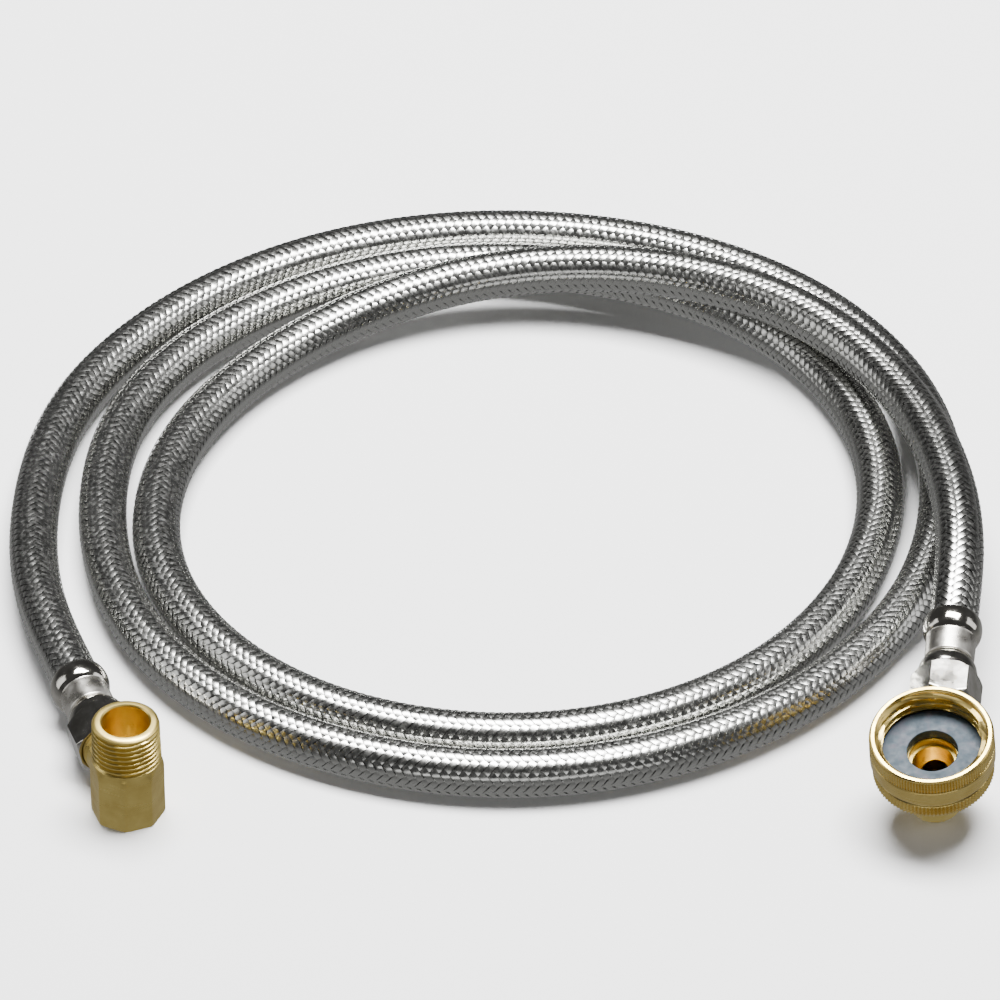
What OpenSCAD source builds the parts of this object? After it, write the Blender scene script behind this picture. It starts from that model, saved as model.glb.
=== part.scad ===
// Braided supply line for an appliance: a steel-braided hose lying in a loose coil, a compression
// nut on each end, a male pipe elbow on the left nut and a garden-hose elbow on the right nut.
// Millimetres. +X runs from the left fitting to the right one, +Y runs away from them over the
// coil, +Z is up, and the origin is on the floor in the middle of the fittings.

/* [Hose] */
// Outer diameter of the wire braid
hose_od = 12.5; // [12.3:0.1:12.7]
// Outer diameter of the inner tube
liner_od = 11.9; // [11.7:0.1:12.1]
// Bore of the inner tube
liner_id = 9; // [8.8:0.1:9.4]

/* [Ferrules] */
// Diameter of the crimped collar over the braid
ferrule_od = 15; // [14.6:0.1:15.4]
// Diameter of the plain barrel next to the nut
barrel_od = 12.8; // [12.4:0.1:13.2]

/* [Compression joints] */
// Width of the hexagonal nuts across their flats, 5/8 in
nut_flats = 15.875; // [15.5:0.125:16.5]
// Outer diameter of the 9/16-24 compression thread
thread_od = 14.28; // [14.2:0.01:14.3]
// Thread that is screwed into each nut
engaged = 5.3; // [4:0.1:5.3]

/* [Pipe elbow] */
// Width of the octagonal bar across its flats
pipe_flats = 17.2; // [16.8:0.1:17.6]
// Height of the octagonal body above the floor
pipe_body_h = 16.6; // [16.4:0.1:17]
// Height of the top of the pipe thread above the floor
pipe_top = 28.6; // [28:0.1:29]
// Outer diameter of the 3/8 in pipe thread
pipe_thread_od = 17.1; // [17:0.05:17.2]
// Bore of the pipe end
pipe_bore = 12.1; // [11:0.1:12.4]

/* [Garden-hose end] */
// Diameter over the knurled band of the swivel nut
garden_od = 31.2; // [30.6:0.1:32]
// Inner diameter over the crests of the 3/4 in garden-hose thread
garden_crest = 24.8; // [24.7:0.05:25]
// Diameter at the roots of the garden-hose thread
garden_root = 27.2; // [27:0.1:27.4]
// Hole in the flat washer
washer_hole = 12.6; // [12:0.1:13]

/* [Placing] */
// Direction from the pipe elbow to its hose end, from +X, in degrees
left_heading = 110; // [106:1:112]
// Direction from the garden elbow to its hose end, from +X, in degrees
right_heading = 83; // [81:1:85]
// Rise of the right hose end away from the garden elbow, in degrees
right_slope = 12; // [10:1:13]
// Lean of the garden elbow to its left, about its hose end's axis, in degrees
right_lean = 3; // [0:1:4]

/* [Hidden] */
$fn = 96;

// Crossing of the two axes of each elbow
left_at = [-96.5, -18.5, 9.2];
right_at = [104, -19, 7.75];
// Distance from the elbow's upright axis to the open end of its nut
left_leg = 13.5;
right_leg = 25;

// Radii that the pieces of a compression joint share
insert_neck_r = 4.9;
insert_flange_r = 6.2;
neck_gap = 0.06;
nut_hole_r = insert_neck_r + neck_gap;
nut_shoulder_r = 5.9;
water_way_r = 4.2;

// Places along a hose end, measured from the open end of the nut
flange_start = 5.8;
flange_end = 7.5;
thread_bore_end = 7.6;
hex_end = 9.3;
nut_end = 14.2;
ferrule_start = 14.3;
collar_start = 21.5;
hose_start = 23;
sleeve_end = 27.6;
// The hose runs straight up to here
mouth = 32.8;

// The hose lies with its axis this high
hose_r = hose_od / 2;
// Sides of the hose's tubes, and rings from one guide point to the next
sides = 12;
rings_per_span = 2;

// Guide points of the free hose, from left to right: x, y and how far it is lifted off the floor
guide = [
    [-125, 92, 1], [-118, 137, 0], [-91, 176, 0], [-51, 203, 0], [-4, 212, 0], [43, 204, 0],
    [83, 179, 0], [108, 139, 0], [113, 92, 0], [100, 46, 0], [69, 10, 0], [26, -12, 0],
    [-21, -14, 0], [-67, 5, 0], [-99, 41, 0], [-109, 89, 0], [-103, 136, 0], [-75, 172, 0],
    [-33, 195, 0], [14, 197, 0], [59, 179, 0], [89, 142, 0], [98, 95, 0], [84, 48, 0],
    [51, 13, 0], [5, -2, 0], [-42, 6, 0], [-78, 34, 0], [-96, 76, 0], [-89, 123, 0],
    [-61, 161, 0], [-19, 184, 5], [28, 184, 10], [72, 164, 14], [100, 128, 14], [111, 90, 17]
];

// Direction in which the hose leaves each end
left_out = [cos(left_heading), sin(left_heading), 0];
right_out = [
    cos(right_slope) * cos(right_heading),
    cos(right_slope) * sin(right_heading),
    sin(right_slope)
];
left_mouth = left_at + (left_leg + mouth) * left_out;
right_mouth = right_at + (right_leg + mouth) * right_out;
// How far the hose is led straight out of each ferrule
left_lead = 30;
right_lead = 22;

// The whole route, with a guide point before and after it that keeps its ends straight
route = concat(
    [left_mouth - left_lead * left_out, left_mouth, left_mouth + left_lead * left_out],
    [for (g = guide) [g[0], g[1], hose_r + g[2]]],
    [right_mouth + right_lead * right_out, right_mouth, right_mouth - right_lead * right_out]
);

// Point on the smooth cubic curve of four guide points, and its direction, for t from 0 to 1
function spline_at(p, i, t) = (
    pow(1 - t, 3) * p[i]
    + (3 * pow(t, 3) - 6 * pow(t, 2) + 4) * p[i + 1]
    + (-3 * pow(t, 3) + 3 * pow(t, 2) + 3 * t + 1) * p[i + 2]
    + pow(t, 3) * p[i + 3]
) / 6;
function spline_dir(p, i, t) = (
    -pow(1 - t, 2) * p[i]
    + (3 * pow(t, 2) - 4 * t) * p[i + 1]
    + (-3 * pow(t, 2) + 2 * t + 1) * p[i + 2]
    + pow(t, 2) * p[i + 3]
) / 2;
function unit(v) = v / norm(v);

// Centres and directions of the hose's rings, from inside one ferrule to inside the other
spans = len(route) - 3;
crimp_depth = mouth - hose_start;
centres = concat(
    [left_mouth - crimp_depth * left_out],
    [for (i = [0:spans - 1]) for (k = [0:rings_per_span - 1]) spline_at(route, i, k / rings_per_span)],
    [right_mouth, right_mouth - crimp_depth * right_out]
);
ways = concat(
    [left_out],
    [for (i = [0:spans - 1]) for (k = [0:rings_per_span - 1])
        unit(spline_dir(route, i, k / rings_per_span))],
    [-right_out, -right_out]
);

// One ring of points about a centre, with its first side facing sideways
function ring(c, way, r) = let (
    side = unit(cross(way, [0, 0, 1])),
    up = cross(side, way)
) [for (k = [0:sides - 1]) c + r * (cos(360 * k / sides) * side + sin(360 * k / sides) * up)];

// A tube of one wall along the hose's rings, open from end to end
module swept_tube(outer_r, inner_r) {
    n = len(centres);
    outer = [for (i = [0:n - 1]) each ring(centres[i], ways[i], outer_r)];
    inner = [for (i = [0:n - 1]) each ring(centres[i], ways[i], inner_r)];
    skin = n * sides;
    last = (n - 1) * sides;
    walls = [for (i = [0:n - 2]) for (k = [0:sides - 1]) let (
        a = i * sides + k,
        b = i * sides + (k + 1) % sides
    ) each [
        [a, a + sides, b + sides], [a, b + sides, b],
        [skin + a, skin + b + sides, skin + a + sides], [skin + a, skin + b, skin + b + sides]
    ]];
    rims = [for (k = [0:sides - 1]) let (b = (k + 1) % sides) each [
        [k, b, skin + b], [k, skin + b, skin + k],
        [last + k, skin + last + b, last + b], [last + k, skin + last + k, skin + last + b]
    ]];
    polyhedron(points = concat(outer, inner), faces = concat(walls, rims));
}

// Puts a hose end, drawn along +X from the open end of its nut, in its place
module at_left(start = 0) {
    translate(left_at) rotate([0, 0, left_heading]) translate([start, 0, 0]) children();
}
module at_right(start = 0) {
    translate(right_at) rotate([0, -right_slope, right_heading]) translate([start, 0, 0]) children();
}

module at_riser() {
    at_right() rotate([-right_lean, 0, 0]) children();
}

// Turns an outline of [place along the axis, radius] points about the X axis
module turned(outline) {
    rotate([0, 90, 0]) rotate_extrude() polygon([for (p = outline) [p[1], p[0]]]);
}

// Crimp sleeve: a bulged collar over the braid and a narrower barrel towards the nut
module ferrule() {
    collar_r = ferrule_od / 2;
    barrel_r = barrel_od / 2;
    braid_hole_r = hose_r + 0.05;
    inner_hole_r = 5.4;
    rim_hole_r = insert_neck_r + 0.05;
    rim_end = ferrule_start + 1.5;
    turned([
        [ferrule_start, rim_hole_r], [ferrule_start, barrel_r - 0.4], [ferrule_start + 0.4, barrel_r],
        [collar_start - 0.7, barrel_r], [collar_start, barrel_r + 0.4], [collar_start + 1.2, collar_r - 0.2],
        [collar_start + 2.4, collar_r], [sleeve_end - 2, collar_r], [sleeve_end - 0.9, collar_r - 0.25],
        [sleeve_end - 0.2, collar_r - 0.6], [sleeve_end, hose_r + 0.45], [sleeve_end, braid_hole_r],
        [hose_start, braid_hole_r], [hose_start, inner_hole_r], [rim_end, inner_hole_r],
        [rim_end, rim_hole_r]
    ]);
}

// Barbed tailpiece: nose, flange for the nut, neck, and barbs inside the inner tube
module insert() {
    nose_start = 4.2;
    nose_r = 3.35;
    neck_end = 22.9;
    stem_r = 3.7;
    stem_end = sleeve_end + 3.6;
    bore_r = 2.7;
    barbs = 3;
    barb_start = 23.4;
    barb_pitch = 1.1;
    barb_r = 4.1;
    turned(concat(
        [[nose_start, bore_r], [nose_start, nose_r], [flange_start, nose_r], [flange_start, insert_flange_r],
        [flange_end, insert_flange_r], [flange_end, insert_neck_r], [neck_end, insert_neck_r],
        [neck_end, stem_r]],
        [for (k = [0:barbs - 1]) let (start = barb_start + k * barb_pitch) each [
            [start, stem_r], [start, barb_r], [start + barb_pitch, stem_r]
        ]],
        [[stem_end, stem_r], [stem_end, bore_r]]
    ));
}

// Cone washer between the insert and the elbow's seat
module cone_washer() {
    narrow_end = 3;
    wide_end = flange_start - 0.1;
    hole_r = 3.45;
    turned([[narrow_end, hole_r], [narrow_end, 4.5], [wide_end, 5.85], [wide_end, hole_r]]);
}

// Compression nut: chamfered hexagon, domed shoulder, and a hole that turns on the insert's neck
module hex_nut(turn) {
    corner_r = nut_flats / 2 / cos(30);
    thread_r = thread_od / 2 + neck_gap;
    collar_r = 7.6;
    dome_r = 7;
    overlap = 0.2;
    difference() {
        union() {
            intersection() {
                rotate([turn, 0, 0]) rotate([0, 90, 0]) cylinder(h = hex_end, r = corner_r, $fn = 6);
                turned([
                    [0, 0], [0, corner_r - 0.8], [0.6, corner_r + 0.1],
                    [hex_end - 1.1, corner_r + 0.1], [hex_end, corner_r - 1.3], [hex_end, 0]
                ]);
            }
            turned([
                [hex_end - overlap, 0], [hex_end - overlap, collar_r], [hex_end + 1.2, collar_r],
                [hex_end + 1.8, dome_r + 0.2], [nut_end - 1.6, dome_r], [nut_end - 0.6, dome_r - 0.4],
                [nut_end, nut_shoulder_r], [nut_end, 0]
            ]);
        }
        turned([[-1, 0], [-1, thread_r], [thread_bore_end, thread_r], [thread_bore_end, 0]]);
        rotate([0, 90, 0]) cylinder(h = 2 * nut_end, r = nut_hole_r);
    }
}

// Side leg of an elbow: plain neck and male compression thread, in the nut's own measure
module leg_outline(root, neck_r) {
    crest_r = thread_od / 2;
    valley_r = crest_r - 0.65;
    pitch = 25.4 / 24;
    turns = 7;
    start = engaged - turns * pitch;
    turned(concat(
        [[root, 0], [root, neck_r], [start - 0.6, neck_r], [start, valley_r]],
        [for (k = [0:turns - 1]) each [
            [start + (k + 0.35) * pitch, crest_r], [start + (k + 0.65) * pitch, crest_r],
            [start + (k + 1) * pitch, valley_r]
        ]],
        [[engaged, 0]]
    ));
}

// Seat for the cone washer and the water way behind it
module leg_way(root) {
    seat_start = 2.4;
    seat_r = 6;
    turned([
        [root, 0], [root, water_way_r], [seat_start, water_way_r], [engaged, seat_r],
        [engaged + 1, seat_r + 0.6], [engaged + 1, 0]
    ]);
}

// Octagonal bar standing on its end, with one flat square to the side leg
module octagon_bar(flats, low, high) {
    translate([0, 0, low]) rotate([0, 0, 22.5]) cylinder(h = high - low, r = flats / 2 / cos(22.5), $fn = 8);
}

// Pipe elbow, about the crossing of its two axes
module pipe_elbow_shape() {
    floor_z = -left_at[2];
    thread_r = pipe_thread_od / 2;
    pitch = 25.4 / 18;
    thread_low = floor_z + pipe_body_h;
    thread_high = floor_z + pipe_top;
    turns = floor((thread_high - thread_low - 0.6) / pitch);
    bar_r = pipe_flats / 2 / cos(22.5);
    valley_r = thread_r - 1;
    first_valley = thread_low + 0.3;
    leg_neck_r = 7;
    bore_low = -4.5;
    difference() {
        union() {
            intersection() {
                octagon_bar(pipe_flats, floor_z, thread_low);
                rotate_extrude() polygon([
                    [0, floor_z], [bar_r - 0.5, floor_z], [bar_r + 0.1, floor_z + 0.6],
                    [bar_r + 0.1, thread_low - 0.9], [bar_r - 1, thread_low], [0, thread_low]
                ]);
            }
            rotate_extrude() polygon(concat(
                [[0, thread_low - 0.5], [valley_r, thread_low - 0.5], [valley_r, first_valley]],
                [for (k = [0:turns - 1]) each [
                    [thread_r, first_valley + (k + 0.4) * pitch],
                    [thread_r, first_valley + (k + 0.6) * pitch],
                    [valley_r, first_valley + (k + 1) * pitch]
                ]],
                [[valley_r, thread_high], [0, thread_high]]
            ));
            translate([left_leg, 0, 0]) leg_outline(-left_leg, leg_neck_r);
        }
        translate([0, 0, bore_low]) cylinder(h = pipe_top, d = pipe_bore);
        translate([left_leg, 0, 0]) leg_way(-left_leg);
    }
}

// Places along the upright axis of the garden elbow, from the crossing of its axes
garden_low = 6.5;
garden_high = 21;
lip_top = 9.3;
flange_low = 9.4;
flange_top = 11.3;
washer_top = 14.4;
elbow_neck_r = 8;
swivel_hole_r = elbow_neck_r + 0.08;

// Garden-hose elbow, about the crossing of its two axes
module garden_elbow_shape() {
    body_flats = 13;
    body_low = -6.5;
    body_high = 6;
    bar_r = body_flats / 2 / cos(22.5);
    flange_r = 11.5;
    riser_bore_r = 5.15;
    riser_bore_low = -3.8;
    wide_bore_r = 6;
    wide_bore_low = 9.4;
    leg_neck_r = 6.1;
    difference() {
        union() {
            intersection() {
                octagon_bar(body_flats, body_low, body_high);
                rotate_extrude() polygon([
                    [0, body_low], [bar_r - 0.7, body_low], [bar_r + 0.1, body_low + 0.8],
                    [bar_r + 0.1, body_high], [0, body_high]
                ]);
            }
            rotate_extrude() polygon([
                [0, 4], [6.3, 4], [6.3, body_high], [elbow_neck_r, body_high], [elbow_neck_r, flange_low],
                [flange_r, flange_low], [flange_r, flange_top - 0.3], [flange_r - 0.3, flange_top],
                [0, flange_top]
            ]);
            translate([right_leg, 0, 0]) leg_outline(-right_leg, leg_neck_r);
        }
        translate([0, 0, riser_bore_low]) cylinder(h = garden_high, r = riser_bore_r);
        translate([0, 0, wide_bore_low]) cylinder(h = garden_high, r = wide_bore_r);
        translate([right_leg, 0, 0]) leg_way(-right_leg);
    }
}

// Garden-hose swivel nut: turned shell with two knurled bands, an inner lip and thread ridges
module garden_nut_shape() {
    band_r = garden_od / 2;
    crest_r = garden_crest / 2;
    root_r = garden_root / 2;
    ring_r = 15;
    groove_r = 14.5;
    groove_low = garden_low + 4;
    band_low = garden_low + 5.6;
    pitch = 25.4 / 11.5;
    first_crest = 15.2;
    ridges = 3;
    rotate_extrude() polygon(concat(
        [[swivel_hole_r, garden_low], [ring_r - 0.8, garden_low], [ring_r, garden_low + 0.8],
        [ring_r, groove_low], [groove_r, groove_low + 0.3], [groove_r, band_low - 0.6], [band_r, band_low],
        [band_r, garden_high - 0.9], [band_r - 0.5, garden_high], [root_r + 0.5, garden_high],
        [root_r, garden_high - 0.6]],
        [for (k = [ridges - 1:-1:0]) let (crest = first_crest + k * pitch) each [
            [root_r, crest + 0.9], [crest_r, crest + 0.2], [crest_r, crest - 0.2], [root_r, crest - 0.9]
        ]],
        [[root_r, lip_top], [swivel_hole_r, lip_top]]
    ));
}

// Flat rubber washer that lies on the elbow's flange
module flat_washer() {
    hole_r = washer_hole / 2;
    washer_r = 12.7;
    edge = 0.2;
    washer_low = flange_top + 0.1;
    rotate_extrude() polygon([
        [hole_r, washer_low], [washer_r, washer_low], [washer_r, washer_top - edge],
        [washer_r - edge, washer_top], [hole_r + edge, washer_top], [hole_r, washer_top - edge]
    ]);
}

module hose_braid() { color("silver") swept_tube(hose_r, liner_od / 2); }
module hose_liner() { color("dimgray") swept_tube(liner_od / 2, liner_id / 2); }
module left_ferrule() { color("lightgray") at_left(left_leg) ferrule(); }
module left_insert() { color("gold") at_left(left_leg) insert(); }
module left_cone_washer() { color("dimgray") at_left(left_leg) cone_washer(); }
module left_nut() { color("lightgray") at_left(left_leg) hex_nut(-11); }
module pipe_elbow() { color("goldenrod") at_left() pipe_elbow_shape(); }
module right_ferrule() { color("lightgray") at_right(right_leg) ferrule(); }
module right_insert() { color("gold") at_right(right_leg) insert(); }
module right_cone_washer() { color("dimgray") at_right(right_leg) cone_washer(); }
module right_nut() { color("lightgray") at_right(right_leg) hex_nut(36); }
module garden_elbow() { color("goldenrod") at_riser() garden_elbow_shape(); }
module garden_nut() { color("gold") at_riser() garden_nut_shape(); }
module hose_washer() { color("slategray") at_riser() flat_washer(); }

hose_braid();
hose_liner();
left_ferrule();
left_insert();
left_cone_washer();
left_nut();
pipe_elbow();
right_ferrule();
right_insert();
right_cone_washer();
right_nut();
garden_elbow();
garden_nut();
hose_washer();
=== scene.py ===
"""Looks of the braided supply line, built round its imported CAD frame. Metres, in the row's frame."""

import math

import bmesh
import bpy
import numpy as np
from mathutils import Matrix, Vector


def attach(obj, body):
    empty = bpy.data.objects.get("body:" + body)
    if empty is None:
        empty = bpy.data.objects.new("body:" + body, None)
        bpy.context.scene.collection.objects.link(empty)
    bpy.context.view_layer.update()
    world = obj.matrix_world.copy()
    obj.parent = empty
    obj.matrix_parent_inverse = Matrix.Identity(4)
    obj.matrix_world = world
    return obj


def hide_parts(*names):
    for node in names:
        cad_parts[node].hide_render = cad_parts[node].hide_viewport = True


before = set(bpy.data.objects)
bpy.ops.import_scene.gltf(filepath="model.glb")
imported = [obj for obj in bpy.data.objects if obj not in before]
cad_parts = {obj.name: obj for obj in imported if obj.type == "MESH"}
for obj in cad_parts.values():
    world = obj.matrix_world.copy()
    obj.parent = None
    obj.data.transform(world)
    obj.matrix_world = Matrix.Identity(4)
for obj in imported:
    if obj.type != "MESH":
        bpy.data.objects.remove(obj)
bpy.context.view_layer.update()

MM = 0.001

# ---------------------------------------------------------------- sizes, as part.scad has them

HOSE_R = 6.25 * MM
LINER_R = 5.7 * MM

LEFT_AT = np.array([-96.5, -18.5, 9.2]) * MM
RIGHT_AT = np.array([104.0, -19.0, 7.75]) * MM
LEFT_HEADING = math.radians(110)
RIGHT_HEADING = math.radians(83)
RIGHT_SLOPE = math.radians(12)
RIGHT_LEAN = math.radians(3)
LEFT_LEG = 13.5 * MM
RIGHT_LEG = 25.0 * MM
MOUTH = 32.8 * MM
CRIMP_DEPTH = 9.8 * MM

LEFT_OUT = np.array([math.cos(LEFT_HEADING), math.sin(LEFT_HEADING), 0.0])
RIGHT_OUT = np.array([
    math.cos(RIGHT_SLOPE) * math.cos(RIGHT_HEADING),
    math.cos(RIGHT_SLOPE) * math.sin(RIGHT_HEADING),
    math.sin(RIGHT_SLOPE),
])
LEFT_LEAD = 30 * MM
RIGHT_LEAD = 22 * MM

# Guide points of the free hose, from left to right: x, y and how far it is lifted, in millimetres
GUIDE = [
    [-125, 92, 1], [-118, 137, 0], [-91, 176, 0], [-51, 203, 0], [-4, 212, 0], [43, 204, 0],
    [83, 179, 0], [108, 139, 0], [113, 92, 0], [100, 46, 0], [69, 10, 0], [26, -12, 0],
    [-21, -14, 0], [-67, 5, 0], [-99, 41, 0], [-109, 89, 0], [-103, 136, 0], [-75, 172, 0],
    [-33, 195, 0], [14, 197, 0], [59, 179, 0], [89, 142, 0], [98, 95, 0], [84, 48, 0],
    [51, 13, 0], [5, -2, 0], [-42, 6, 0], [-78, 34, 0], [-96, 76, 0], [-89, 123, 0],
    [-61, 161, 0], [-19, 184, 5], [28, 184, 10], [72, 164, 14], [100, 128, 14], [111, 90, 17],
]

# ---------------------------------------------------------------- camera

VIEW_ELEVATION = math.radians(39)
VIEW_DISTANCE = 2.4
VIEW_TARGET = Vector((-4 * MM, 103.5 * MM, 0))
FRAME_PIXELS = 1000
FOCAL_PIXELS = 9260
SENSOR = 36


def add_camera():
    data = bpy.data.cameras.new("camera")
    data.sensor_width = SENSOR
    data.lens = FOCAL_PIXELS / FRAME_PIXELS * SENSOR
    data.clip_end = 20
    camera = bpy.data.objects.new("camera", data)
    bpy.context.scene.collection.objects.link(camera)
    back = Vector((0, -math.cos(VIEW_ELEVATION), math.sin(VIEW_ELEVATION)))
    camera.location = VIEW_TARGET + VIEW_DISTANCE * back
    camera.rotation_euler = (math.pi / 2 - VIEW_ELEVATION, 0, 0)
    bpy.context.scene.camera = camera


add_camera()

# ---------------------------------------------------------------- mesh helpers


def new_piece(name, points, faces, body, smooth=True):
    """A mesh object of the given points and faces that rides on a body."""
    mesh = bpy.data.meshes.new(name)
    mesh.from_pydata([tuple(p) for p in points], [], faces)
    mesh.polygons.foreach_set("use_smooth", [smooth] * len(mesh.polygons))
    mesh.validate()
    mesh.update()
    piece = bpy.data.objects.new(name, mesh)
    bpy.context.scene.collection.objects.link(piece)
    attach(piece, body)
    return piece


def unit(v):
    return v / np.linalg.norm(v)


# ---------------------------------------------------------------- the hose's route

FINE = 30


def route_points():
    left = LEFT_AT + (LEFT_LEG + MOUTH) * LEFT_OUT
    right = RIGHT_AT + (RIGHT_LEG + MOUTH) * RIGHT_OUT
    guide = [np.array([x, y, 0]) * MM + [0, 0, HOSE_R + lift * MM] for x, y, lift in GUIDE]
    return np.array(
        [left - LEFT_LEAD * LEFT_OUT, left, left + LEFT_LEAD * LEFT_OUT]
        + guide
        + [right + RIGHT_LEAD * RIGHT_OUT, right, right - RIGHT_LEAD * RIGHT_OUT]
    )


def smooth_curve(points):
    """The cubic curve that the guide points pull, with a point every FINE-th of a span."""
    line = []
    for i in range(len(points) - 3):
        for t in np.arange(FINE) / FINE:
            pull = [(1 - t) ** 3, 3 * t**3 - 6 * t**2 + 4, -3 * t**3 + 3 * t**2 + 3 * t + 1, t**3]
            line.append(np.array(pull) @ points[i:i + 4] / 6)
    line.append(points[-2])
    return np.array(line)


def hose_line(step):
    """Points a step apart along the hose, from inside one ferrule to inside the other."""
    free = smooth_curve(route_points())
    left_end = free[0] - CRIMP_DEPTH * LEFT_OUT
    right_end = free[-1] - CRIMP_DEPTH * RIGHT_OUT
    whole = np.vstack([left_end, free, right_end])
    along = np.r_[0, np.cumsum(np.linalg.norm(np.diff(whole, axis=0), axis=1))]
    count = round(along[-1] / step) + 1
    places = np.linspace(0, along[-1], count)
    return np.stack([np.interp(places, along, whole[:, k]) for k in range(3)], 1), places


def frames_of(line):
    """Directions, sideways and upward vectors of a line that never stands upright."""
    way = np.gradient(line, axis=0)
    way /= np.linalg.norm(way, axis=1)[:, None]
    side = np.cross(way, [0, 0, 1])
    side /= np.linalg.norm(side, axis=1)[:, None]
    return way, side, np.cross(side, way)


# ---------------------------------------------------------------- the braid

CARRIERS = 12
LEAD = 28 * MM
CROSSINGS = 2 * CARRIERS
STEPS_PER_WAVE = 6
FLOAT = 4
STRAND_W = 1.7 * MM
STRAND_T = 0.24 * MM
WEAVE = 0.23 * MM
CROWN = 0.1 * MM
# How soon a strand that rises at a crossing lies flat again
FLATNESS = 2.1


def strands(name, hand):
    """The twelve flat wire strands of one hand, two over and two under those of the other."""
    step = LEAD * FLOAT / CROSSINGS / STEPS_PER_WAVE
    line, places = hose_line(step)
    way, side, up = frames_of(line)
    points, faces = [], []
    n = len(line)
    turn = hand * 2 * math.pi * places / LEAD
    crossing = CROSSINGS * places / LEAD
    base = HOSE_R - STRAND_T - WEAVE
    slant = math.atan2(2 * math.pi * HOSE_R, LEAD)
    for i in range(CARRIERS):
        phase = (2 * i + hand * crossing) / FLOAT * 2 * math.pi
        middle = 0.5 if hand > 0 else 2.5
        wave = np.cos(phase - middle / FLOAT * 2 * math.pi)
        lift = np.clip(FLATNESS * wave, -1, 1)
        a = turn + 2 * math.pi * i / CARRIERS
        out = np.cos(a)[:, None] * side + np.sin(a)[:, None] * up
        around = -np.sin(a)[:, None] * side + np.cos(a)[:, None] * up
        lengthways = math.cos(slant) * way + hand * math.sin(slant) * around
        across = np.cross(lengthways, out)
        r = base + WEAVE * lift
        centre = line + r[:, None] * out
        # The strand bends round the hose, so that its edges lie a little lower than its middle
        sag = (STRAND_W / 2 * math.cos(slant)) ** 2 / (2 * HOSE_R)
        low = centre + (STRAND_T - CROWN - sag) * out
        high = centre + STRAND_T * out
        ring = np.stack([low - STRAND_W / 2 * across, high, low + STRAND_W / 2 * across], 1)
        first = len(points) * 3 * n
        points.append(ring.reshape(-1, 3))
        for k in range(n - 1):
            o, p = first + 3 * k, first + 3 * (k + 1)
            faces += [(o, p, p + 1, o + 1), (o + 1, p + 1, p + 2, o + 2), (o + 2, p + 2, p, o)]
        end = first + 3 * (n - 1)
        faces += [(first, first + 1, first + 2), (end + 2, end + 1, end)]
    piece = new_piece(name, np.vstack(points), faces, "hose")
    piece.data.set_sharp_from_angle(angle=math.radians(60))
    return piece


def tube(name, radius, step, sides, body):
    line, _ = hose_line(step)
    way, side, up = frames_of(line)
    a = 2 * math.pi * np.arange(sides) / sides
    ring = np.cos(a)[None, :, None] * side[:, None] + np.sin(a)[None, :, None] * up[:, None]
    points = (line[:, None] + radius * ring).reshape(-1, 3)
    n = len(line)
    faces = [
        (i * sides + k, i * sides + (k + 1) % sides, (i + 1) * sides + (k + 1) % sides, (i + 1) * sides + k)
        for i in range(n - 1) for k in range(sides)
    ]
    faces += [tuple(range(sides))[::-1], tuple(range((n - 1) * sides, n * sides))]
    return new_piece(name, points, faces, body)


right_strands = strands("braid_right_hand", 1)
left_strands = strands("braid_left_hand", -1)
inner_tube = tube("inner_tube", LINER_R, 3 * MM, 32, "hose")
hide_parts("hose_braid")
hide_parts("hose_liner")

# ---------------------------------------------------------------- the fittings, in millimetres

# Each fitting is drawn in its own axes: X along the hose away from the elbow, Z up the elbow
NUT_FLATS = 15.875
NUT_TURN_LEFT = -11
NUT_TURN_RIGHT = 36
THREAD_R = 7.14
ENGAGED = 5.3
COMPRESSION_PITCH = 25.4 / 24
NUT_BORE_R = 7.2
NECK_HOLE_R = 4.96
BARREL_END = 21.2
WATER_WAY_R = 4.2


def fitting_axes(at, out, lean=0):
    side = unit(np.cross([0, 0, 1], out))
    up = np.cross(out, side)
    c, s = math.cos(lean), math.sin(lean)
    return at, np.array([out, c * side - s * up, s * side + c * up])


LEFT = fitting_axes(LEFT_AT, LEFT_OUT)
RIGHT = fitting_axes(RIGHT_AT, RIGHT_OUT)
RISER = fitting_axes(RIGHT_AT, RIGHT_OUT, RIGHT_LEAN)


def softened(outline, cut, closed=True):
    """The outline with each corner replaced by a small curve that starts a cut's length before it."""
    points = [np.array(p, float) for p in outline]
    soft = []
    for k, corner in enumerate(points):
        if not closed and k in (0, len(points) - 1):
            soft.append(corner)
            continue
        before = points[k - 1] - corner
        after = points[(k + 1) % len(points)] - corner
        a = corner + before * min(cut / np.linalg.norm(before), 0.45)
        b = corner + after * min(cut / np.linalg.norm(after), 0.45)
        for t in (0, 0.25, 0.5, 0.75, 1):
            soft.append((1 - t) ** 2 * a + 2 * t * (1 - t) * corner + t**2 * b)
    return soft


def divided(outline, step, closed=True):
    """The outline with no stretch longer than a step."""
    count = len(outline) if closed else len(outline) - 1
    points = []
    for k in range(count):
        a, b = np.array(outline[k]), np.array(outline[(k + 1) % len(outline)])
        parts = max(1, math.ceil(np.linalg.norm(b - a) / step))
        points += [a + (b - a) * j / parts for j in range(parts)]
    if not closed:
        points.append(np.array(outline[-1]))
    return points


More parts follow.
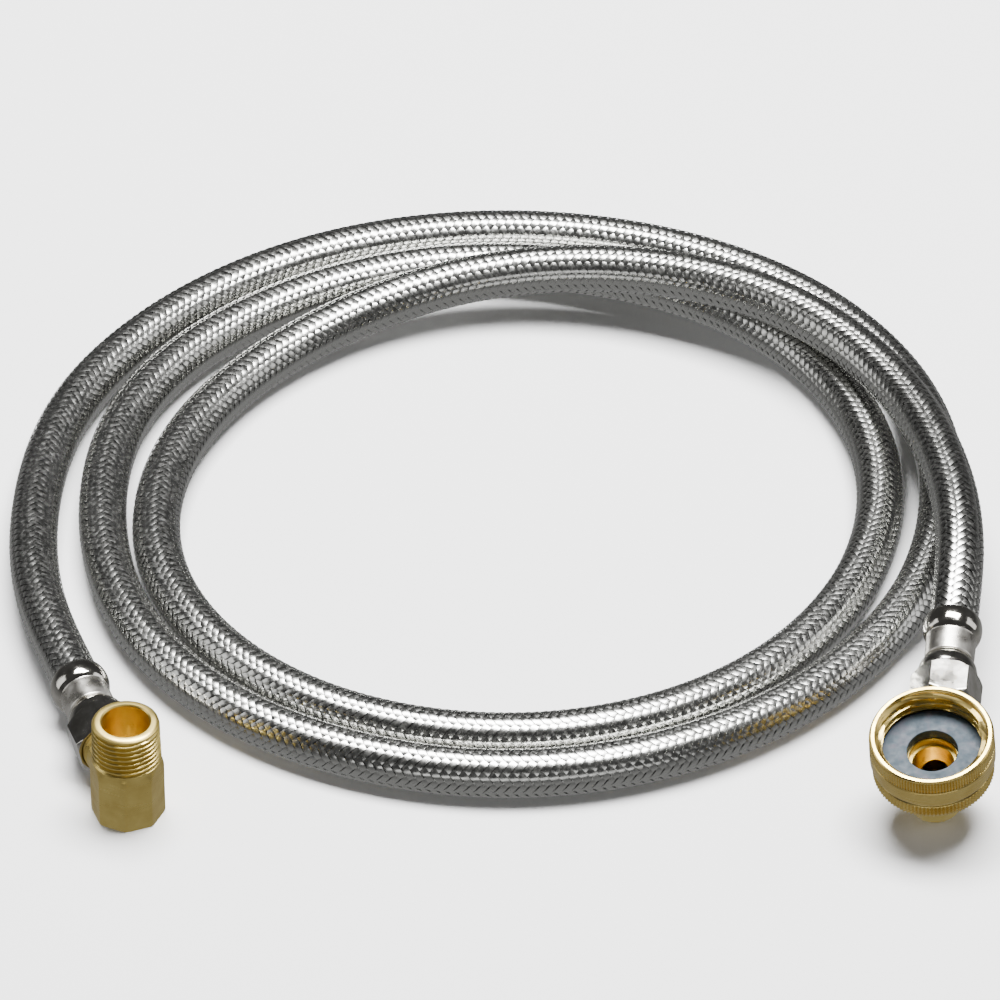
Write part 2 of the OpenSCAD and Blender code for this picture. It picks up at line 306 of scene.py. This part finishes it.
def turned_grid(axes, about, outline, segments, shape=None, start=0, closed=True):
    """Points and faces of a surface turned about a fitting's x or z axis; shape may change its radii."""
    angle = math.radians(start) + 2 * math.pi * np.arange(segments) / segments
    place, radius = np.array(outline).T
    angle, place = np.meshgrid(angle, place)
    radius = np.repeat(radius[:, None], segments, axis=1)
    if shape:
        radius = shape(angle, place, radius)
    across, upward = radius * np.cos(angle), radius * np.sin(angle)
    local = [place, across, upward] if about == "x" else [across, upward, place]
    origin, directions = axes
    points = origin + MM * np.stack(local, -1).reshape(-1, 3) @ directions
    rows = len(outline)
    faces = []
    for i in range(rows if closed else rows - 1):
        j = (i + 1) % rows
        for k in range(segments):
            m = (k + 1) % segments
            faces.append((i * segments + k, i * segments + m, j * segments + m, j * segments + k))
    if not closed:
        faces += [tuple(range(segments)), tuple(range((rows - 1) * segments, rows * segments))]
    return points, faces


SHARP = math.radians(32)


def finish_mesh(piece):
    """Faces all look outwards, and only true edges stay sharp."""
    shape = bmesh.new()
    shape.from_mesh(piece.data)
    bmesh.ops.remove_doubles(shape, verts=shape.verts, dist=0.002 * MM)
    bmesh.ops.dissolve_degenerate(shape, edges=shape.edges, dist=0.002 * MM)
    bmesh.ops.recalc_face_normals(shape, faces=shape.faces)
    shape.to_mesh(piece.data)
    shape.free()
    piece.data.polygons.foreach_set("use_smooth", [True] * len(piece.data.polygons))
    piece.data.set_sharp_from_angle(angle=SHARP)


def turned_piece(name, body, *grid, **options):
    points, faces = turned_grid(*grid, **options)
    piece = new_piece(name, points, faces, body)
    finish_mesh(piece)
    return piece


def carved(piece, steps):
    """Joins other closed shapes to a piece or cuts them out of it, and uses those shapes up."""
    for kind, tool in steps:
        modifier = piece.modifiers.new(kind, "BOOLEAN")
        modifier.operation = kind
        modifier.solver = "EXACT"
        modifier.object = tool
    seen = piece.evaluated_get(bpy.context.evaluated_depsgraph_get())
    mesh = bpy.data.meshes.new_from_object(seen)
    piece.modifiers.clear()
    piece.data = mesh
    for _, tool in steps:
        bpy.data.objects.remove(tool)
    finish_mesh(piece)


def many_flats(flats, count, angle, turn):
    """Radius of a regular bar with flat sides, in the direction of an angle."""
    part = 2 * math.pi / count
    off = (angle - math.radians(turn)) % part - part / 2
    return flats / 2 / np.cos(off)


def thread_height(angle, place, pitch):
    """Height of a rounded right-hand thread, from 0 in its valleys to 1 on its crests."""
    return np.clip(1.25 * (0.5 + 0.5 * np.cos(2 * math.pi * place / pitch - angle)), 0, 1)


def crimp_sleeve(name, axes, leg):
    collar = [(22.1, 7.1), (23.2, 7.42), (24.4, 7.55), (25.4, 7.5), (26.5, 7.3), (27.2, 7)]
    outline = [(14.3, 4.95), (14.3, 6.1), (14.6, 6.3), (20.9, 6.35), (BARREL_END, 6.4), (21.5, 6.7)] + collar
    outline += [(27.6, 6.7), (27.6, 6.32), (23, 6.32), (23, 5.4), (15.8, 5.4), (15.8, 4.95)]
    outline = [(leg + place, radius) for place, radius in softened(outline, 0.35)]
    piece = turned_piece(name, "hose", axes, "x", outline, 96)
    return piece


def hex_nut(name, body, axes, leg, turn):
    corner_r = NUT_FLATS / 2 / math.cos(math.pi / 6)
    hexagon = [(0, corner_r - 0.8), (0.6, corner_r), (8.2, corner_r), (8.6, corner_r - 0.3)]
    hexagon += [(8.95, corner_r - 0.75), (9.3, corner_r - 1.4)]
    dome = [(9.45, 7.55), (10.4, 7.55), (11.2, 7.45), (12, 7.25), (12.8, 6.9), (13.5, 6.4), (14.2, 5.6)]
    hole = [(14.2, NECK_HOLE_R), (7.6, NECK_HOLE_R), (7.6, NUT_BORE_R)]
    bore = [(0.5, NUT_BORE_R), (0, NUT_BORE_R + 0.4)]
    outline = divided(softened(hexagon + dome + hole + bore, 0.12), 0.5)
    outline = [(leg + place, radius) for place, radius in outline]

    def six_sided(angle, place, radius):
        flat = many_flats(NUT_FLATS, 6, angle, turn - 90)
        held = np.minimum(radius, flat)
        outside = (radius > NUT_BORE_R + 0.45) & (place < leg + 9.4)
        inside = (radius < NUT_BORE_R + 0.01) & (place < leg + 7.4)
        cut = 0.5 * (1 - thread_height(angle, place, COMPRESSION_PITCH))
        return np.where(outside, held, radius + np.where(inside, cut * 0.7, 0))

    piece = turned_piece(name, body, axes, "x", outline, 144, shape=six_sided, start=turn)
    return piece


def leg_tool(axes, leg, root_r):
    """Outside of an elbow's side leg: plain neck and compression thread."""
    outline = [(0, root_r - 0.5), (leg - 2.7, root_r), (leg - 2.3, root_r), (leg - 2.0, THREAD_R - 0.65)]
    outline += [(leg + ENGAGED - 0.6, THREAD_R - 0.2), (leg + ENGAGED, THREAD_R - 0.7)]
    outline = divided(outline, COMPRESSION_PITCH / 6, closed=False)

    def threaded(angle, place, radius):
        fade = np.clip((place - leg + 2.1) / 0.8, 0, 1) * np.clip((leg + ENGAGED - 0.1 - place) / 0.9, 0, 1)
        crest = THREAD_R - 0.62 * (1 - thread_height(angle, place, COMPRESSION_PITCH))
        return np.where(fade > 0, radius * (1 - fade) + crest * fade, radius)

    return turned_piece("leg", "hose", axes, "x", outline, 72, shape=threaded, closed=False)


def plain_tool(axes, about, outline, segments=72):
    return turned_piece("tool", "hose", axes, about, outline, segments, closed=False)


def leg_bore(axes, leg, start):
    outline = [(start, WATER_WAY_R), (leg + 2.4, WATER_WAY_R), (leg + ENGAGED, 6), (leg + ENGAGED + 1, 6.6)]
    return plain_tool(axes, "x", outline)


def pipe_elbow():
    floor, thread_low, top = -9.2, 7.4, 19.4
    flats, pitch, depth = 17.2, 25.4 / 18, 0.95
    corner_r = flats / 2 / math.cos(math.pi / 8)
    crest_low, crest_top = 8.7, 8.45
    body = [(floor, corner_r - 0.4), (floor + 0.1, corner_r - 0.2), (floor + 0.4, corner_r - 0.02)]
    body += [(thread_low - 1.3, corner_r - 0.05), (thread_low - 0.7, corner_r - 0.3)]
    body += [(thread_low, crest_low)]
    rim = [(top - 0.95, crest_top), (top - 0.5, crest_top - 0.2), (top - 0.18, crest_top - 0.6)]
    rim += [(top, crest_top - 1.05), (top, 6.35)]
    outline = divided(body, 1.5, closed=False) + divided([body[-1], rim[0]], pitch / 8, closed=False)[1:]
    outline += rim[1:]

    def shaped(angle, place, radius):
        bar = many_flats(flats, 8, angle, 22.5)
        level = (place - thread_low) / pitch
        fade = np.clip(level, 0, 1) * np.clip((top - 0.8 - place) / 0.6, 0, 1)
        cut = depth * (1 - thread_height(angle, place, pitch)) * fade
        return np.where(place < thread_low, np.minimum(radius, bar), radius - cut)

    piece = turned_piece(
        "pipe_elbow_brass", "pipe_elbow", LEFT, "z", outline, 144, shape=shaped, start=22.5, closed=False,
    )
    leg = LEFT_LEG / MM
    bore = [(-4.5, 5.6), (-4.2, 6.05), (top - 0.35, 6.05), (top + 0.2, 6.6)]
    carved(piece, [
        ("UNION", leg_tool(LEFT, leg, 7)),
        ("DIFFERENCE", plain_tool(LEFT, "z", bore, 96)),
        ("DIFFERENCE", leg_bore(LEFT, leg, 0)),
    ])
    return piece


def garden_elbow():
    flats = 13
    corner_r = flats / 2 / math.cos(math.pi / 8)
    body = [(-6.5, corner_r - 0.9), (-6.3, corner_r - 0.5), (-5.8, corner_r - 0.05), (5.6, corner_r - 0.05)]
    body += [(6, corner_r - 0.5), (6.02, 8), (9.4, 8), (9.4, 11.3), (9.6, 11.5), (11, 11.5), (11.3, 11.2)]
    outline = divided(body, 1.5, closed=False)

    def shaped(angle, place, radius):
        return np.where(place < 6.01, np.minimum(radius, many_flats(flats, 8, angle, 22.5)), radius)

    piece = turned_piece(
        "garden_elbow_brass", "garden_elbow", RISER, "z", outline, 96, shape=shaped, start=22.5, closed=False,
    )
    leg = RIGHT_LEG / MM
    bore = [(-3.8, 4.8), (-3.5, 5.15), (9.25, 5.15), (9.4, 5.3), (9.4, 6), (11.1, 6), (11.6, 6.3)]
    carved(piece, [
        ("UNION", leg_tool(RISER, leg, 6.1)),
        ("DIFFERENCE", plain_tool(RISER, "z", bore, 72)),
        ("DIFFERENCE", leg_bore(RISER, leg, 0)),
    ])
    return piece


def garden_nut():
    pitch = 25.4 / 11.5
    crest_r, root_r, band_r, ring_r = 12.4, 13.6, 15.6, 15.0
    upper_teeth, lower_teeth = 128, 96
    outside = [(6.5, 8.08), (6.5, 13.9), (6.7, 14.5), (7.2, ring_r), (10.1, ring_r), (10.5, 14.75)]
    outside += [(10.75, 14.45), (11.35, 14.4), (11.8, 15.1), (12.1, 15.45), (12.6, band_r)]
    outside += [(16.6, band_r), (16.75, 15.45), (17.0, 15.5), (20.2, 15.5), (20.75, 15.25), (21, 14.9)]
    inside = [(21, 14.15), (20.75, 13.8), (20.4, root_r), (9.3, root_r), (9.3, 8.08)]
    outline = divided(softened(outside, 0.08, closed=False), 1.2, closed=False)
    outline += divided(softened(inside, 0.08, closed=False), pitch / 8, closed=False)

    def shaped(angle, place, radius):
        upper = (radius > 15.0) & (place > 17) & (place < 20.4)
        lower = (radius > 14.6) & (place > 7) & (place < 10.4)
        up_cut = 0.2 * np.clip(1.4 * np.cos(angle * upper_teeth), -1, 1)
        low_cut = 0.26 * np.clip(1.4 * np.cos(angle * lower_teeth), -1, 1)
        wall = (radius < 13.9) & (radius > 13) & (place > 12.4)
        ridge = np.clip(1.7 * np.cos(2 * math.pi * (place - 15.2) / pitch - angle) - 0.35, 0, 1)
        fade = np.clip((place - 13.2) / 1.6, 0, 1) * np.clip((20.6 - place) / 1.2, 0, 1)
        radius = radius - np.where(upper, 0.1 + up_cut, 0) - np.where(lower, 0.1 + low_cut, 0)
        return radius - np.where(wall, (root_r - crest_r) * ridge * fade, 0)

    piece = turned_piece("garden_nut_brass", "garden_nut", RISER, "z", outline, 384, shape=shaped)
    return piece


def flat_washer():
    outline = softened([(11.4, 6.3), (11.4, 12.7), (14.4, 12.7), (14.4, 6.3)], 0.25)
    outline = divided(outline, 1.0)
    piece = turned_piece("rubber_washer", "garden_nut", RISER, "z", outline, 96)
    return piece


left_sleeve = crimp_sleeve("left_crimp_sleeve", LEFT, LEFT_LEG / MM)
right_sleeve = crimp_sleeve("right_crimp_sleeve", RIGHT, RIGHT_LEG / MM)
left_nut = hex_nut("left_hex_nut", "left_nut", LEFT, LEFT_LEG / MM, NUT_TURN_LEFT)
right_nut = hex_nut("right_hex_nut", "right_nut", RIGHT, RIGHT_LEG / MM, NUT_TURN_RIGHT)
left_elbow = pipe_elbow()
right_elbow = garden_elbow()
swivel_nut = garden_nut()
washer = flat_washer()
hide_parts("left_ferrule")
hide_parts("right_ferrule")
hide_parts("left_nut")
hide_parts("right_nut")
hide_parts("pipe_elbow")
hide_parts("garden_elbow")
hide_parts("garden_nut")
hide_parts("hose_washer")

# ---------------------------------------------------------------- materials


def new_material(name, colour, metallic, roughness):
    material = bpy.data.materials.new(name)
    material.use_nodes = True
    shader = material.node_tree.nodes["Principled BSDF"]
    shader.inputs["Base Color"].default_value = (*colour, 1)
    shader.inputs["Metallic"].default_value = metallic
    shader.inputs["Roughness"].default_value = roughness
    return material, shader


def add_noise(material, scale, stretch=(1, 1, 1), detail=4, turn=(0, 0, 0)):
    """A noise texture in the object's own metres, drawn out along some of its axes."""
    tree = material.node_tree
    place = tree.nodes.new("ShaderNodeTexCoord")
    mapping = tree.nodes.new("ShaderNodeMapping")
    mapping.inputs["Rotation"].default_value = turn
    mapping.inputs["Scale"].default_value = stretch
    noise = tree.nodes.new("ShaderNodeTexNoise")
    noise.inputs["Scale"].default_value = scale
    noise.inputs["Detail"].default_value = detail
    tree.links.new(place.outputs["Object"], mapping.inputs["Vector"])
    tree.links.new(mapping.outputs["Vector"], noise.inputs["Vector"])
    return noise.outputs["Fac"]


def add_span(material, source, low, high, into, at=(0.3, 0.7)):
    """Turns a texture into values from low to high for one of the shader's sockets."""
    tree = material.node_tree
    span = tree.nodes.new("ShaderNodeMapRange")
    span.inputs["From Min"].default_value = at[0]
    span.inputs["From Max"].default_value = at[1]
    span.inputs["To Min"].default_value = low
    span.inputs["To Max"].default_value = high
    tree.links.new(source, span.inputs["Value"])
    tree.links.new(span.outputs["Result"], into)


def add_colours(material, source, stops, into):
    """Turns a texture into a colour that runs through the stops."""
    tree = material.node_tree
    ramp = tree.nodes.new("ShaderNodeValToRGB")
    elements = ramp.color_ramp.elements
    while len(elements) < len(stops):
        elements.new(0.5)
    for element, (position, colour) in zip(elements, stops):
        element.position = position
        element.color = (*colour, 1)
    tree.links.new(source, ramp.inputs["Fac"])
    tree.links.new(ramp.outputs["Color"], into)


def add_bump(material, source, height, into):
    tree = material.node_tree
    bump = tree.nodes.new("ShaderNodeBump")
    bump.inputs["Strength"].default_value = 1
    bump.inputs["Distance"].default_value = height
    tree.links.new(source, bump.inputs["Height"])
    tree.links.new(bump.outputs["Normal"], into)


def wire_material():
    material, shader = new_material("stainless_wire", (0.5, 0.5, 0.48), 1, 0.24)
    add_span(material, add_noise(material, 900), 0.15, 0.32, shader.inputs["Roughness"])
    return material


def nickel_material(name, roughness, spread, streaks):
    material, shader = new_material(name, (0.6, 0.58, 0.54), 1, roughness)
    smudges = add_noise(material, 260, detail=6)
    add_colours(
        material, smudges, [(0.35, (0.5, 0.48, 0.43)), (0.7, (0.68, 0.66, 0.62))], shader.inputs["Base Color"],
    )
    add_span(material, smudges, roughness - spread, roughness + spread, shader.inputs["Roughness"])
    add_bump(material, add_noise(material, 1500), streaks * MM, shader.inputs["Normal"])
    return material


def brass_material(name, dull, bright, roughness, riser_tilt):
    """Machined brass with fine rings round its upright axis and a slightly uneven tint."""
    material, shader = new_material(name, bright, 1, roughness)
    add_colours(
        material, add_noise(material, 180, detail=5), [(0.35, dull), (0.65, bright)],
        shader.inputs["Base Color"],
    )
    rings = add_noise(material, 3000, stretch=(0.03, 0.03, 1), turn=riser_tilt)
    add_span(material, rings, roughness - 0.08, roughness + 0.12, shader.inputs["Roughness"])
    add_bump(material, rings, 0.004 * MM, shader.inputs["Normal"])
    return material


def washer_material():
    material, shader = new_material("washer_rubber", (0.25, 0.29, 0.33), 0, 0.55)
    shader.inputs["Specular IOR Level"].default_value = 0.25
    mottle = add_noise(material, 330, detail=8)
    stops = [(0.3, (0.022, 0.036, 0.05)), (0.5, (0.04, 0.06, 0.078)), (0.7, (0.068, 0.07, 0.09))]
    add_colours(material, mottle, stops, shader.inputs["Base Color"])
    add_span(material, add_noise(material, 700), 0.42, 0.68, shader.inputs["Roughness"])
    add_bump(material, add_noise(material, 2500), 0.02 * MM, shader.inputs["Normal"])
    return material


def dull_material(name, dark, pale, roughness):
    """Soft plastic or rubber that hardly shows."""
    material, shader = new_material(name, pale, 0, roughness)
    grain = add_noise(material, 1200)
    add_colours(material, grain, [(0.35, dark), (0.65, pale)], shader.inputs["Base Color"])
    add_span(material, grain, roughness - 0.08, roughness + 0.08, shader.inputs["Roughness"])
    return material


def clad(piece, *materials):
    piece.data.materials.clear()
    for material in materials:
        piece.data.materials.append(material)


def satin_barrel(sleeve, axes, leg):
    """Gives a sleeve's plain barrel its second, duller material."""
    origin, directions = axes
    for face in sleeve.data.polygons:
        place = (np.array(face.center) - origin) @ directions[0] / MM - leg
        if place < BARREL_END:
            face.material_index = 1


wire = wire_material()
polished = nickel_material("polished_nickel", 0.12, 0.05, 0.004)
satin = nickel_material("satin_nickel", 0.3, 0.08, 0.01)
TILT_BACK = (-RIGHT_SLOPE, 0, 0)
elbow_brass = brass_material("elbow_brass", (0.7, 0.53, 0.16), (0.84, 0.66, 0.22), 0.34, (0, 0, 0))
nut_brass = brass_material("swivel_brass", (0.72, 0.53, 0.16), (0.84, 0.65, 0.23), 0.28, TILT_BACK)
washer_rubber = washer_material()
# Painted shade: the liner is drawn near-black so that the gaps between the braid's strands look shadowed; the
# liner itself is pale plastic.
liner_painted_shade = dull_material("liner_painted_shade", (0.03, 0.03, 0.03), (0.06, 0.06, 0.06), 0.6)
cone_rubber = dull_material("cone_rubber", (0.02, 0.02, 0.02), (0.05, 0.05, 0.05), 0.7)

clad(right_strands, wire)
clad(left_strands, wire)
clad(inner_tube, liner_painted_shade)
clad(left_sleeve, polished, satin)
clad(right_sleeve, polished, satin)
satin_barrel(left_sleeve, LEFT, LEFT_LEG / MM)
satin_barrel(right_sleeve, RIGHT, RIGHT_LEG / MM)
clad(left_nut, polished)
clad(right_nut, polished)
clad(left_elbow, elbow_brass)
clad(right_elbow, elbow_brass)
clad(swivel_nut, nut_brass)
clad(washer, washer_rubber)
for node, material in (
    ("left_insert", elbow_brass), ("right_insert", elbow_brass),
    ("left_cone_washer", cone_rubber), ("right_cone_washer", cone_rubber),
):
    for slot in bpy.data.objects[node].material_slots:
        slot.material = material

# ---------------------------------------------------------------- light and floor


def add_floor():
    size = 6.0
    mesh = bpy.data.meshes.new("floor")
    corners = [(-size, -size, 0), (size, -size, 0), (size, size, 0), (-size, size, 0)]
    mesh.from_pydata(corners, [], [(0, 1, 2, 3)])
    floor = bpy.data.objects.new("floor", mesh)
    bpy.context.scene.collection.objects.link(floor)
    floor.visible_glossy = False
    material, _ = new_material("floor_pale", (0.93, 0.93, 0.93), 0, 0.9)
    mesh.materials.append(material)


def add_light(name, place, size, power, target=(0, 0.1, 0)):
    data = bpy.data.lights.new(name, "AREA")
    data.shape = "RECTANGLE"
    data.size, data.size_y = size
    data.energy = power
    lamp = bpy.data.objects.new(name, data)
    lamp.location = place
    lamp.rotation_euler = (Vector(target) - Vector(place)).to_track_quat("-Z", "Y").to_euler()
    bpy.context.scene.collection.objects.link(lamp)


def add_world(above, below):
    """A studio that is dark above the floor's edge and pale below it, like the floor's own glow."""
    world = bpy.data.worlds.new("world")
    bpy.context.scene.world = world
    world.use_nodes = True
    tree = world.node_tree
    tree.nodes["Background"].inputs["Color"].default_value = (1, 1, 1, 1)
    place = tree.nodes.new("ShaderNodeTexCoord")
    parts = tree.nodes.new("ShaderNodeSeparateXYZ")
    span = tree.nodes.new("ShaderNodeMapRange")
    span.inputs["From Min"].default_value = -0.55
    span.inputs["From Max"].default_value = 0.05
    span.inputs["To Min"].default_value = below
    span.inputs["To Max"].default_value = above
    tree.links.new(place.outputs["Generated"], parts.inputs["Vector"])
    tree.links.new(parts.outputs["Z"], span.inputs["Value"])
    tree.links.new(span.outputs["Result"], tree.nodes["Background"].inputs["Strength"])


add_floor()
add_light("key", (0.1, 0.35, 1.5), (1.2, 0.7), 110)
add_light("front", (0, -1.7, 0.35), (2.4, 0.5), 6)
add_light("left", (-1.6, 0.1, 0.5), (0.8, 1.2), 5)
add_light("right", (1.6, 0.1, 0.5), (0.8, 1.2), 5)
add_world(0.06, 0.36)
